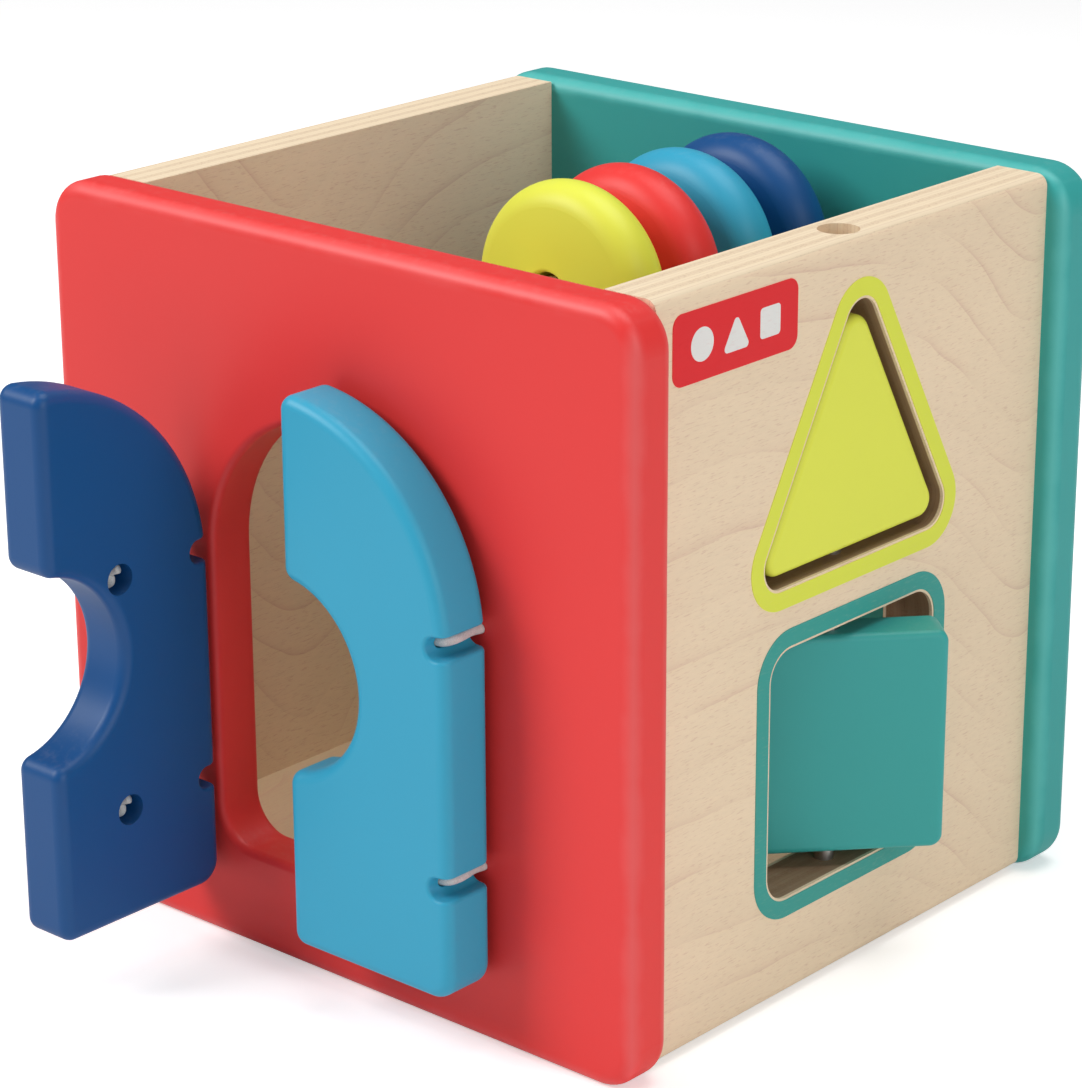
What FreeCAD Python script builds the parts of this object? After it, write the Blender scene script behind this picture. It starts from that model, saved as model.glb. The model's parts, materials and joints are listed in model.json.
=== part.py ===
import FreeCAD, Part
import math
import os
import re
import Sketcher

# Wooden activity cube: an open-topped box with two cord-hinged doors over an arch in the front,
# a triangle and a square block that spin on a rod inside the right wall, and four rounded discs
# on a rod inside. X runs along the front panel, Y from front to back, Z up. The origin is the
# middle of the cube's footprint at the height it stands on.

doc = FreeCAD.newDocument("activity_cube")

# ---------------------------------------------------------------- driving dimensions, in mm
SIZES = {
    # outer cube
    "cube_width": 152, "cube_height": 152, "cube_depth": 143,
    # painted front and back panels
    "panel_thickness": 11, "panel_corner_radius": 9, "panel_edge_round": 3, "panel_overhang": 4.5,
    # plywood side walls and floor
    "wall_thickness": 12, "wall_top_drop": 0.8, "wall_bottom_rise": 1, "wall_edge_round": 2.4,
    "floor_thickness": 12, "floor_rise": 3.4,
    # arch opening in the front panel
    "arch_half_width": 32.4, "arch_spring_height": 83.3, "arch_sill_height": 21.3,
    "arch_sill_corner": 8, "arch_rim_round": 1.6,
    # doors, and how far they lap over the arch opening
    "door_thickness": 12.4, "door_overlap": 10.3, "door_sill_overlap": 7.3, "door_corner_radius": 5,
    "door_edge_round": 2.4, "door_tip_round": 3, "door_middle_gap": 2.2, "door_panel_gap": 1.55,
    "door_cutout_radius": 19.5, "door_cutout_height": 70,
    "door_hinge_from_edge": 5.7, "door_hinge_from_back": 6.3,
    "left_door_open_angle": 90,
    # elastic hinge cords and what holds them
    "cord_radius": 1.05, "cord_bore_gap": 0.15, "cord_slot_gap": 1.25, "cord_slot_depth": 5,
    "cord_slot_round": 0.7,
    "knot_radius": 2.4, "knot_pocket_gap": 0.75, "knot_pocket_depth": 10, "knot_depth": 4.4,
    "panel_pocket_depth": 6, "cord_upper_height": 85.1, "cord_lower_height": 37.2,
    "cord_bore_from_back": 8.4, "knot_pocket_from_hinge": 23.6, "cord_mouth_setback": 3.8,
    "cord_free_end": 1.8,
    # triangle block and its hole
    "triangle_base_height": 87, "triangle_half_base": 31.9, "triangle_rise": 57,
    "triangle_hole_round": 5, "triangle_clearance": 2, "triangle_tip_round": 4.5,
    "triangle_corner_round": 3.5,
    # square block and its hole
    "square_middle_height": 48.3, "square_hole_size": 52, "square_hole_round": 6,
    "square_clearance": 3, "square_block_round": 2.6, "square_turn_angle": 42,
    # how far both blocks lie inside the wall's faces, and their edges
    "block_inset": 0.9, "block_edge_round": 1.5,
    # printed rings and label on the right wall
    "print_thickness": 0.15, "ring_rim": 0.5, "ring_width": 3.6,
    "label_length": 36, "label_height": 13.5, "label_front_gap": 4.5, "label_top_gap": 3.9,
    "label_round": 2.5,
    # spinner axle inside the right wall
    "axle_radius": 2, "axle_running_gap": 0.08, "axle_end_height": 10, "access_radius": 4.1,
    "access_depth": 8.4, "plug_length": 4,
    # discs and their rod
    "disc_radius": 22.4, "disc_half_thickness": 8, "disc_edge_radius": 6, "disc_hole_round": 0.8,
    "disc_hole_gap": 1.2, "disc_spacing": 17.4, "disc_group_middle": 19.5, "disc_rod_offset": 5,
    "disc_rod_radius": 4, "rod_socket_depth": 6,
    # hidden joinery
    "dowel_radius": 3, "dowel_in_panel": 7, "dowel_in_wall": 16, "dowel_end_margin": 24,
    "dowel_in_side": 8, "floor_dowel_margin": 22,
}

sheet = doc.addObject("Spreadsheet::Sheet", "Sizes")
for row, (alias, number) in enumerate(SIZES.items(), start=1):
    sheet.set("A%d" % row, alias)
    sheet.set("B%d" % row, str(number))
    sheet.setAlias("B%d" % row, alias)
doc.recompute()

# Places and fitted sizes that several pieces share, worked out from the sizes above. A rule may
# use a name that comes later in the list.
PLACES = {
    "wall_outer_x": "(cube_width / 2 - panel_overhang)",
    "wall_middle_x": "(cube_width / 2 - panel_overhang - wall_thickness / 2)",
    "wall_inner_x": "(cube_width / 2 - panel_overhang - wall_thickness)",
    "panel_inner_y": "(cube_depth / 2 - panel_thickness)",
    "wall_top_z": "(cube_height - wall_top_drop)",
    "disc_rod_z": "(cube_height - disc_radius)",
    "hinge_x": "(door_arch_radius - door_hinge_from_edge)",
    "hinge_y": "(0 - cube_depth / 2 - door_panel_gap - door_hinge_from_back)",
    "cord_mouth_x": "(door_arch_radius - cord_mouth_setback)",
    "triangle_base_angle": "atan(triangle_rise / triangle_half_base)",
    "door_arch_radius": "(arch_half_width + door_overlap)",
    "door_bottom_height": "(arch_sill_height - door_sill_overlap)",
    "cord_bore_radius": "(cord_radius + cord_bore_gap)",
    "cord_slot_width": "(2 * cord_radius + 2 * cord_slot_gap)",
    "knot_pocket_radius": "(knot_radius + knot_pocket_gap)",
    "square_block_size": "(square_hole_size - 2 * square_clearance)",
    "block_thickness": "(wall_thickness - 2 * block_inset)",
    "disc_hole_radius": "(disc_rod_radius + disc_hole_gap)",
}


def bound(text):
    """Spells out the places in an expression and points its size names at the sheet."""
    for place, rule in PLACES.items():
        text = re.sub(r"\b%s\b" % place, rule, text)
    return re.sub(r"\b[a-z]+(?:_[a-z]+)+\b", lambda word: "Sizes." + word.group(0), text)


def value(text):
    """The number that an expression in size names comes to."""
    return float(sheet.evalExpression(bound(text)))


# ---------------------------------------------------------------- helpers for features
FAR = 1000      # beyond every piece
NEAR = 0.01     # room around a place when edges are chosen
SAME = 0.0001   # two lengths this close are the same


def tie(feature, prop, text):
    feature.setExpression(prop, bound(text))


def new_body(label):
    body = doc.addObject("PartDesign::Body", label)
    body.Label = label
    return body


def place(piece, x="0", y="0", z="0", angle="0"):
    """Puts a sub-part's own origin in the cube, turned about Z."""
    move(piece, x, y, z)
    tie(piece, ".Placement.Rotation.Angle", angle)


def new_sketch(body, role, offset="0"):
    """A sketch on one of the body's own origin planes, moved along that plane's normal."""
    plane = [f for f in body.Origin.OriginFeatures if f.Role == role][0]
    sketch = body.newObject("Sketcher::SketchObject", "outline")
    sketch.AttachmentSupport = (plane, [""])
    sketch.MapMode = "FlatFace"
    tie(sketch, ".AttachmentOffset.Base.z", offset)
    return sketch


def set_level(sketch, kind, geometry, end, text):
    """Ties the x (DistanceX) or the y (DistanceY) of one point of a sketch to an expression."""
    index = sketch.addConstraint(Sketcher.Constraint(kind, -1, 1, geometry, end, value(text)))
    tie(sketch, "Constraints[%d]" % index, text)


def set_point(sketch, geometry, end, x, y):
    set_level(sketch, "DistanceX", geometry, end, x)
    set_level(sketch, "DistanceY", geometry, end, y)


def vector(x, y):
    return FreeCAD.Vector(value(x), value(y), 0)


def add_polygon(sketch, corners):
    """A closed run of straight lines through the given (x, y) expressions."""
    first = sketch.GeometryCount
    count = len(corners)
    for i, (x, y) in enumerate(corners):
        after = corners[(i + 1) % count]
        sketch.addGeometry(Part.LineSegment(vector(x, y), vector(*after)))
    for i, (x, y) in enumerate(corners):
        sketch.addConstraint(Sketcher.Constraint("Coincident", first + i, 2, first + (i + 1) % count, 1))
        set_point(sketch, first + i, 1, x, y)


def add_circle(sketch, x, y, radius):
    index = sketch.addGeometry(Part.Circle(vector(x, y), FreeCAD.Vector(0, 0, 1), value(radius)))
    set_point(sketch, index, 3, x, y)
    tie_radius(sketch, index, radius)


def add_arc(sketch, centre, radius, start_angle, end_angle):
    """An arc with a tied centre. Its neighbours or tie_radius hold its radius and its ends."""
    circle = Part.Circle(vector(*centre), FreeCAD.Vector(0, 0, 1), value(radius))
    index = sketch.addGeometry(Part.ArcOfCircle(circle, start_angle, end_angle))
    set_point(sketch, index, 3, *centre)
    return index


def tie_radius(sketch, geometry, radius):
    index = sketch.addConstraint(Sketcher.Constraint("Radius", geometry, value(radius)))
    tie(sketch, "Constraints[%d]" % index, radius)


def add_lines(sketch, ends):
    """Straight lines, each given by its two end points."""
    for start, end in ends:
        sketch.addGeometry(Part.LineSegment(vector(*start), vector(*end)))


def join_ends(sketch, joins):
    """Makes pairs of end points meet: (geometry, end), (geometry, end)."""
    for one, two in joins:
        sketch.addConstraint(Sketcher.Constraint("Coincident", one[0], one[1], two[0], two[1]))


def rectangle(half_x, low_y, high_y):
    """Corners of a rectangle that is even about the sketch's Y axis."""
    left = "0 - (%s)" % half_x
    return [(left, low_y), (half_x, low_y), (half_x, high_y), (left, high_y)]


def pad(body, sketch, length, middle=False):
    feature = body.newObject("PartDesign::Pad", "pad")
    feature.Profile = sketch
    tie(feature, "Length", length)
    feature.Midplane = middle
    doc.recompute()
    return feature


def pocket(body, sketch, length, into_normal=False, middle=False):
    """Cuts a sketch out of the body and makes sure that something was really cut."""
    before = body.Shape.Volume
    feature = body.newObject("PartDesign::Pocket", "pocket")
    feature.Profile = sketch
    tie(feature, "Length", length)
    feature.Reversed = into_normal
    feature.Midplane = middle
    doc.recompute()
    if not body.Shape.Volume < before:
        raise RuntimeError("%s: a pocket cut nothing" % body.Label)
    return feature


def fillet(body, base, chosen, radius):
    """Rounds the edges of a feature that the chooser picks."""
    names = ["Edge%d" % (i + 1) for i, edge in enumerate(base.Shape.Edges) if chosen(edge)]
    feature = body.newObject("PartDesign::Fillet", "fillet")
    feature.Base = (base, names)
    tie(feature, "Radius", radius)
    doc.recompute()
    return feature


def along(axis):
    """Chooser for straight edges along one axis: 0 for X, 1 for Y, 2 for Z."""
    def chosen(edge):
        if not isinstance(edge.Curve, Part.Line):
            return False
        return abs(abs(edge.Curve.Direction[axis]) - 1) < SAME
    return chosen


def in_plane(axis, level):
    """Chooser for edges that lie in the plane where one coordinate has a given value."""
    def chosen(edge):
        box = edge.BoundBox
        low = (box.XMin, box.YMin, box.ZMin)[axis]
        high = (box.XMax, box.YMax, box.ZMax)[axis]
        return abs(low - level) < SAME and abs(high - level) < SAME
    return chosen


def circles_of(radius):
    """Chooser for round edges of one radius."""
    def chosen(edge):
        return isinstance(edge.Curve, Part.Circle) and abs(edge.Curve.Radius - value(radius)) < SAME
    return chosen


def both(*choosers):
    return lambda edge: all(chosen(edge) for chosen in choosers)


def either(*choosers):
    return lambda edge: any(chosen(edge) for chosen in choosers)


def inside_box(low, high):
    """Chooser for edges whose middle lies inside a box."""
    def chosen(edge):
        point = edge.valueAt((edge.FirstParameter + edge.LastParameter) / 2)
        return all(low[i] <= point[i] <= high[i] for i in range(3))
    return chosen


def across_at(y, z):
    """Chooser for the straight edge along X that passes through one (y, z) corner."""
    low = (-FAR, value(y) - NEAR, value(z) - NEAR)
    high = (FAR, value(y) + NEAR, value(z) + NEAR)
    return both(along(0), inside_box(low, high))


def drill(body, role, holes, radius, depth, level="0", into_normal=False):
    """Round holes of one size, drilled from a plane of the body."""
    sketch = new_sketch(body, role, level)
    for x, y in holes:
        add_circle(sketch, x, y, radius)
    return pocket(body, sketch, depth, into_normal)


def cylinder(label, radius, height, turn=(0, 0, 1, 0)):
    """A round bar from its own origin along Z, turned by an axis and an angle."""
    bar = doc.addObject("Part::Cylinder", label)
    bar.Label = label
    tie(bar, "Radius", radius)
    tie(bar, "Height", height)
    bar.Placement.Rotation = FreeCAD.Rotation(FreeCAD.Vector(*turn[:3]), turn[3])
    return bar


def ball(label, radius):
    sphere = doc.addObject("Part::Sphere", label)
    tie(sphere, "Radius", radius)
    return sphere


def move(piece, x="0", y="0", z="0"):
    """Puts a piece's own origin at a point and leaves its turn as it is."""
    for axis, text in (("x", x), ("y", y), ("z", z)):
        tie(piece, ".Placement.Base." + axis, text)
    return piece


def group(kind, label, members):
    """Several primitives as one sub-part: fused into one solid, or kept apart as a set."""
    whole = doc.addObject(kind, label)
    whole.Label = label
    if kind == "Part::Compound":
        whole.Links = members
    else:
        whole.Shapes = members
    return whole


# ---------------------------------------------------------------- shared hole places
SIDES = {"left": -1, "right": 1}
DOOR_ANGLES = {"left": "0 - left_door_open_angle", "right": "0"}
DOWEL_HEIGHTS = ["wall_bottom_rise + dowel_end_margin", "wall_top_z - dowel_end_margin"]
CORD_HEIGHTS = {"upper": "cord_upper_height", "lower": "cord_lower_height"}
FLOOR_DOWEL_Y = ["0 - (panel_inner_y - floor_dowel_margin)", "panel_inner_y - floor_dowel_margin"]
TO_PLUS_X = (0, 1, 0, 90)
TO_PLUS_Y = (1, 0, 0, -90)


def signed(side, text):
    """An x that is mirrored on the left side."""
    return text if SIDES[side] > 0 else "0 - (%s)" % text


# ---------------------------------------------------------------- front and back panels
def panel(label):
    """A painted board with round corners. Its own origin is at the middle of its bottom edge, on
    the face that looks into the cube, and the board is padded from there towards its -Y."""
    body = new_body(label)
    sketch = new_sketch(body, "XZ_Plane")
    add_polygon(sketch, rectangle("cube_width / 2", "0", "cube_height"))
    board = pad(body, sketch, "panel_thickness")
    board = fillet(body, board, along(1), "panel_corner_radius")
    rims = either(in_plane(1, 0), in_plane(1, value("0 - panel_thickness")))
    fillet(body, board, rims, "panel_edge_round")
    return body


def drill_panel(body, rod_x):
    """Sockets in a panel's inner face for the wall dowels and for the disc rod."""
    dowels = [(signed(side, "wall_middle_x"), z) for side in SIDES for z in DOWEL_HEIGHTS]
    drill(body, "XZ_Plane", dowels, "dowel_radius", "dowel_in_panel", into_normal=True)
    rod = [(rod_x, "disc_rod_z")]
    drill(body, "XZ_Plane", rod, "disc_rod_radius", "rod_socket_depth", into_normal=True)


def cut_arch(body):
    """The opening behind the doors: a half circle on a tall box with rounded lower corners."""
    arch = new_sketch(body, "XZ_Plane")
    low_left = ("0 - arch_half_width", "arch_sill_height")
    low_right = ("arch_half_width", "arch_sill_height")
    top_left = ("0 - arch_half_width", "arch_spring_height")
    top_right = ("arch_half_width", "arch_spring_height")
    add_lines(arch, [(top_left, low_left), (low_left, low_right), (low_right, top_right)])
    crown = add_arc(arch, ("0", "arch_spring_height"), "arch_half_width", 0, math.pi)
    join_ends(arch, [((0, 2), (1, 1)), ((1, 2), (2, 1)), ((2, 2), (crown, 1)), ((crown, 2), (0, 1))])
    set_point(arch, 0, 1, *top_left)
    set_point(arch, 0, 2, *low_left)
    set_point(arch, 1, 2, *low_right)
    set_level(arch, "DistanceY", 2, 2, "arch_spring_height")
    cut = pocket(body, arch, "panel_thickness", into_normal=True)
    reach = value("arch_half_width") + NEAR
    sill = value("arch_sill_height")
    crest = value("arch_spring_height + arch_half_width") + NEAR
    corners = inside_box((-reach, -FAR, sill - NEAR), (reach, FAR, sill + NEAR))
    cut = fillet(body, cut, both(along(1), corners), "arch_sill_corner")
    faces = either(in_plane(1, 0), in_plane(1, value("0 - panel_thickness")))
    opening = inside_box((-reach, -FAR, sill - NEAR), (reach, FAR, crest))
    fillet(body, cut, both(faces, opening), "arch_rim_round")


def front_panel():
    body = panel("front_panel")
    cut_arch(body)
    drill_panel(body, "disc_rod_offset")
    mouths = [(signed(side, "cord_mouth_x"), z) for side in SIDES for z in CORD_HEIGHTS.values()]
    drill(body, "XZ_Plane", mouths, "cord_bore_radius", "panel_thickness", into_normal=True)
    drill(body, "XZ_Plane", mouths, "knot_pocket_radius", "panel_pocket_depth", into_normal=True)
    place(body, y="0 - panel_inner_y")
    return body


def back_panel():
    """The same board without the arch, turned round so that its inner face looks forwards."""
    body = panel("back_panel")
    drill_panel(body, "0 - disc_rod_offset")
    place(body, y="panel_inner_y", angle="180")
    return body


# ---------------------------------------------------------------- side walls and floor
def side_wall(side):
    """A plywood wall between the two panels, with its outer long edges rounded. Its own origin is
    on its middle plane, at the height that the cube stands on."""
    body = new_body("%s_wall" % side)
    sketch = new_sketch(body, "YZ_Plane")
    add_polygon(sketch, rectangle("panel_inner_y", "wall_bottom_rise", "wall_top_z"))
    board = pad(body, sketch, "wall_thickness", middle=True)
    outer = SIDES[side] * value("wall_thickness / 2")
    fillet(body, board, both(along(1), in_plane(0, outer)), "wall_edge_round")
    ends = (("panel_inner_y", False), ("0 - panel_inner_y", True))
    for level, into_normal in ends:
        drill(body, "XZ_Plane", [("0", z) for z in DOWEL_HEIGHTS], "dowel_radius", "dowel_in_wall",
              level=level, into_normal=into_normal)
    inner = signed(side, "0 - wall_thickness / 2")
    holes = [(y, "floor_rise + floor_thickness / 2") for y in FLOOR_DOWEL_Y]
    drill(body, "YZ_Plane", holes, "dowel_radius", "dowel_in_side", level=inner,
          into_normal=(side == "right"))
    place(body, x=signed(side, "wall_middle_x"))
    return body


def triangle_corners(inset):
    """Sharp corners of the triangle hole, with its three sides moved in by the inset."""
    half = "triangle_half_base - (%s) / tan(triangle_base_angle / 2)" % inset
    low = "triangle_base_height + (%s)" % inset
    tip = "triangle_base_height + triangle_rise - (%s) / cos(triangle_base_angle)" % inset
    return [("0 - (%s)" % half, low), (half, low), ("0", tip)]


def square_corners(size):
    low = "square_middle_height - (%s) / 2" % size
    high = "square_middle_height + (%s) / 2" % size
    return rectangle("(%s) / 2" % size, low, high)


def cut_shape(body, corners, radius, depth):
    """Cuts a rounded outline right through a board that stands across X."""
    sketch = new_sketch(body, "YZ_Plane")
    add_polygon(sketch, corners)
    cut = pocket(body, sketch, depth, middle=True)
    cut_edges = either(*[across_at(y, z) for y, z in corners])
    return fillet(body, cut, cut_edges, radius)


def right_wall():
    body = side_wall("right")
    cut_shape(body, triangle_corners("0"), "triangle_hole_round", "wall_thickness * 2")
    cut_shape(body, square_corners("square_hole_size"), "square_hole_round", "wall_thickness * 2")
    # one vertical bore for the axle, opened out at the top so that the axle can be dropped in
    drill(body, "XY_Plane", [("0", "0")], "axle_radius", "wall_top_z - axle_end_height",
          level="wall_top_z")
    drill(body, "XY_Plane", [("0", "0")], "access_radius", "access_depth", level="wall_top_z")
    return body


def floor_board():
    """The floor lies between the panels and the walls, a little above the table."""
    body = new_body("floor_board")
    sketch = new_sketch(body, "XY_Plane")
    add_polygon(sketch, rectangle("wall_inner_x", "0 - panel_inner_y", "panel_inner_y"))
    pad(body, sketch, "floor_thickness")
    for side in SIDES:
        holes = [(y, "floor_thickness / 2") for y in FLOOR_DOWEL_Y]
        drill(body, "YZ_Plane", holes, "dowel_radius", "dowel_in_wall",
              level=signed(side, "wall_inner_x"), into_normal=(side == "left"))
    place(body, z="floor_rise")
    return body


def wall_dowels(label, facing):
    """Four dowels across the joints between both walls and one panel; facing is -1 at the front."""
    length = "dowel_in_panel + dowel_in_wall"
    start = "0 - panel_inner_y - dowel_in_panel" if facing < 0 else "panel_inner_y - dowel_in_wall"
    pins = []
    for side in SIDES:
        for z in DOWEL_HEIGHTS:
            pin = cylinder("%s_pin" % label, "dowel_radius", length, TO_PLUS_Y)
            pins.append(move(pin, signed(side, "wall_middle_x"), start, z))
    return group("Part::Compound", label, pins)


def floor_dowels():
    """Two dowels from the floor into each wall."""
    starts = {"left": "0 - wall_inner_x - dowel_in_side", "right": "wall_inner_x - dowel_in_wall"}
    pins = []
    for side in SIDES:
        for y in FLOOR_DOWEL_Y:
            pin = cylinder("floor_pin", "dowel_radius", "dowel_in_side + dowel_in_wall", TO_PLUS_X)
            pins.append(move(pin, starts[side], y, "floor_rise + floor_thickness / 2"))
    return group("Part::Compound", "floor_dowels", pins)


# ---------------------------------------------------------------- doors
def door_outline(body, side):
    """The closed door seen from the front: half of an arch with a half-round bite in its free edge."""
    sketch = new_sketch(body, "XZ_Plane", "0 - door_hinge_from_back")
    hinge = signed(side, "door_hinge_from_edge")
    free = signed(side, "door_middle_gap / 2 - hinge_x")
    middle = signed(side, "0 - hinge_x")
    bottom = "door_bottom_height"
    spring = "arch_spring_height"
    bite_z = "door_cutout_height"
    bite_rise = "sqrt(door_cutout_radius ^ 2 - (door_middle_gap / 2) ^ 2)"
    crown_rise = "sqrt(door_arch_radius ^ 2 - (door_middle_gap / 2) ^ 2)"
    low_tip = (free, "%s - %s" % (bite_z, bite_rise))
    high_tip = (free, "%s + %s" % (bite_z, bite_rise))
    peak = (free, "%s + %s" % (spring, crown_rise))
    add_lines(sketch, [((hinge, spring), (hinge, bottom)), ((hinge, bottom), (free, bottom)),
                       ((free, bottom), low_tip), (high_tip, peak)])
    lean = math.asin(value("door_middle_gap / 2") / value("door_cutout_radius"))
    tilt = math.asin(value("door_middle_gap / 2") / value("door_arch_radius"))
    quarter = math.pi / 2
    if side == "right":
        bite_turn = (lean - quarter, quarter - lean)
        crown_turn = (0, quarter - tilt)
        bite_low, bite_high, crown_hinge, crown_peak = 1, 2, 1, 2
    else:
        bite_turn = (quarter + lean, 3 * quarter - lean)
        crown_turn = (quarter + tilt, math.pi)
        bite_low, bite_high, crown_hinge, crown_peak = 2, 1, 2, 1
    bite = add_arc(sketch, (middle, bite_z), "door_cutout_radius", *bite_turn)
    tie_radius(sketch, bite, "door_cutout_radius")
    crown = add_arc(sketch, (middle, spring), "door_arch_radius", *crown_turn)
    join_ends(sketch, [((0, 2), (1, 1)), ((1, 2), (2, 1)), ((2, 2), (bite, bite_low)),
                       ((bite, bite_high), (3, 1)), ((3, 2), (crown, crown_peak)),
                       ((crown, crown_hinge), (0, 1))])
    set_point(sketch, 0, 1, hinge, spring)
    set_point(sketch, 0, 2, hinge, bottom)
    set_point(sketch, 1, 2, free, bottom)
    for line in (2, 3):
        sketch.addConstraint(Sketcher.Constraint("Vertical", line))
    set_level(sketch, "DistanceX", 3, 2, free)
    return sketch, hinge, free


def slot_rims(side, deep, z):
    """Chooser for the edges round one slot, without the smooth ones where its flats meet its end."""
    reach = ("door_hinge_from_edge - cord_slot_depth", "door_hinge_from_edge")
    ends = [value(signed(side, end)) for end in reach]
    half = value("cord_slot_width / 2") + NEAR
    around = inside_box((min(ends) - NEAR, -FAR, value(z) - half),
                        (max(ends) + NEAR, FAR, value(z) + half))
    flats_end = inside_box((value(deep) - NEAR, -FAR, -FAR), (value(deep) + NEAR, FAR, FAR))
    smooth = both(along(1), flats_end)
    return lambda edge: around(edge) and not smooth(edge)


def cut_cord_slots(body, side):
    """Round-ended slots across the hinge edge, one for each cord, with rounded rims."""
    sketch = new_sketch(body, "XZ_Plane", "0 - door_hinge_from_back")
    deep = signed(side, "door_hinge_from_edge - cord_slot_depth + cord_slot_width / 2")
    out = signed(side, "door_hinge_from_edge + door_edge_round")
    quarter = math.pi / 2
    if side == "right":
        turn, low_end, high_end = (quarter, 3 * quarter), 2, 1
    else:
        turn, low_end, high_end = (-quarter, quarter), 1, 2
    for z in CORD_HEIGHTS.values():
        low = "%s - cord_slot_width / 2" % z
        high = "%s + cord_slot_width / 2" % z
        first = sketch.GeometryCount
        add_lines(sketch, [((deep, low), (out, low)), ((out, low), (out, high)),
                           ((out, high), (deep, high))])
        end = add_arc(sketch, (deep, z), "cord_slot_width / 2", *turn)
        join_ends(sketch, [((first, 2), (first + 1, 1)), ((first + 1, 2), (first + 2, 1)),
                           ((first + 2, 2), (end, high_end)), ((end, low_end), (first, 1))])
        set_point(sketch, first, 1, deep, low)
        set_point(sketch, first + 1, 1, out, low)
        set_point(sketch, first + 2, 1, out, high)
        set_level(sketch, "DistanceX", first + 2, 2, deep)
    cut = pocket(body, sketch, "door_thickness", into_normal=True)
    for z in CORD_HEIGHTS.values():
        cut = fillet(body, cut, slot_rims(side, deep, z), "cord_slot_round")


def door(side):
    """One of the two doors. Its own origin is on its hinge line, level with the table, and it is
    drawn closed, with its free edge towards the middle of the cube."""
    body = new_body("%s_door" % side)
    sketch, hinge, free = door_outline(body, side)
    slab = pad(body, sketch, "door_thickness")
    low_tip = (value(free) - NEAR, -FAR, -FAR)
    at_free = inside_box(low_tip, (value(free) + NEAR, FAR, FAR))
    slab = fillet(body, slab, both(along(1), at_free), "door_tip_round")
    low_corner = (value(hinge) + NEAR, FAR, value("door_bottom_height") + NEAR)
    under_hinge = inside_box((value(hinge) - NEAR, -FAR, -FAR), low_corner)
    slab = fillet(body, slab, both(along(1), under_hinge), "door_corner_radius")
    back = value("door_hinge_from_back")
    front = value("door_hinge_from_back - door_thickness")
    fillet(body, slab, either(in_plane(1, back), in_plane(1, front)), "door_edge_round")
    cut_cord_slots(body, side)
    # a bore from the deep end of each slot to its knot pocket, and the pocket in the inner face
    bores = [("door_hinge_from_back - cord_bore_from_back", z) for z in CORD_HEIGHTS.values()]
    bore_start = signed(side, "door_hinge_from_edge - cord_slot_depth + cord_radius")
    bore_length = "knot_pocket_from_hinge - cord_slot_depth + cord_radius"
    drill(body, "YZ_Plane", bores, "cord_bore_radius", bore_length, level=bore_start,
          into_normal=(side == "left"))
    knot_x = signed(side, "door_hinge_from_edge - knot_pocket_from_hinge")
    knots = [(knot_x, z) for z in CORD_HEIGHTS.values()]
    drill(body, "XZ_Plane", knots, "knot_pocket_radius", "knot_pocket_depth",
          level="0 - door_hinge_from_back", into_normal=True)
    place(body, signed(side, "hinge_x"), "hinge_y", angle=DOOR_ANGLES[side])
    return body


# ---------------------------------------------------------------- hinge cords
def door_cord(side, level):
    """The cord's end in the door: a run along the bore, a bend in the pocket, and the knot. It is
    drawn from the hinge line with the door closed, and then turned with the door."""
    z = CORD_HEIGHTS[level]
    run = "door_hinge_from_back - cord_bore_from_back"
    bend = "door_hinge_from_edge - knot_pocket_from_hinge"
    length = "knot_pocket_from_hinge - cord_free_end"
    along_bore = cylinder("cord_run", "cord_radius", length, TO_PLUS_X)
    start = bend if side == "right" else "0 - (%s) - (%s)" % (bend, length)
    move(along_bore, start, run, z)
    elbow = move(ball("cord_bend", "cord_radius"), signed(side, bend), run, z)
    rise = cylinder("cord_rise", "cord_radius", "cord_bore_from_back - knot_depth", TO_PLUS_Y)
    move(rise, signed(side, bend), run, z)
    knot = ball("cord_knot", "knot_radius")
    move(knot, signed(side, bend), "door_hinge_from_back - knot_depth", z)
    label = "%s_%s_cord_door_end" % (side, level)
    cord = group("Part::MultiFuse", label, [along_bore, elbow, rise, knot])
    place(cord, signed(side, "hinge_x"), "hinge_y", angle=DOOR_ANGLES[side])
    return cord


def panel_cord(side, level):
    """The cord's end in the front panel: a straight run through the bore, and its knot, pulled
    against the bottom of the pocket."""
    z = CORD_HEIGHTS[level]
    seat = "sqrt(knot_radius ^ 2 - cord_bore_radius ^ 2)"
    length = "panel_thickness - panel_pocket_depth + %s" % seat
    run = cylinder("cord_run", "cord_radius", length, TO_PLUS_Y)
    move(run, signed(side, "cord_mouth_x"), "0 - cube_depth / 2", z)
    knot_y = "0 - cube_depth / 2 + %s" % length
    knot = move(ball("cord_knot", "knot_radius"), signed(side, "cord_mouth_x"), knot_y, z)
    return group("Part::MultiFuse", "%s_%s_cord_panel_end" % (side, level), [run, knot])


# ---------------------------------------------------------------- spinning blocks
def spinning_block(label, corners, rounds, angle):
    """A rounded board that spins on the axle. Its own origin is on the axle's line, and rounds
    gives one radius for each of its corners."""
    body = new_body(label)
    sketch = new_sketch(body, "YZ_Plane")
    add_polygon(sketch, corners)
    slab = pad(body, sketch, "block_thickness", middle=True)
    for (y, z), radius in zip(corners, rounds):
        slab = fillet(body, slab, across_at(y, z), radius)
    half = value("block_thickness / 2")
    fillet(body, slab, either(in_plane(0, half), in_plane(0, -half)), "block_edge_round")
    top = max((z for y, z in corners), key=value)
    drill(body, "XY_Plane", [("0", "0")], "axle_radius + axle_running_gap", top, level=top)
    place(body, "wall_middle_x", angle=angle)
    return body


def triangle_block():
    rounds = ["triangle_corner_round", "triangle_corner_round", "triangle_tip_round"]
    return spinning_block("triangle_block", triangle_corners("triangle_clearance"), rounds, "0")


def square_block():
    rounds = ["square_block_round"] * 4
    corners = square_corners("square_block_size")
    return spinning_block("square_block", corners, rounds, "0 - square_turn_angle")


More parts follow.
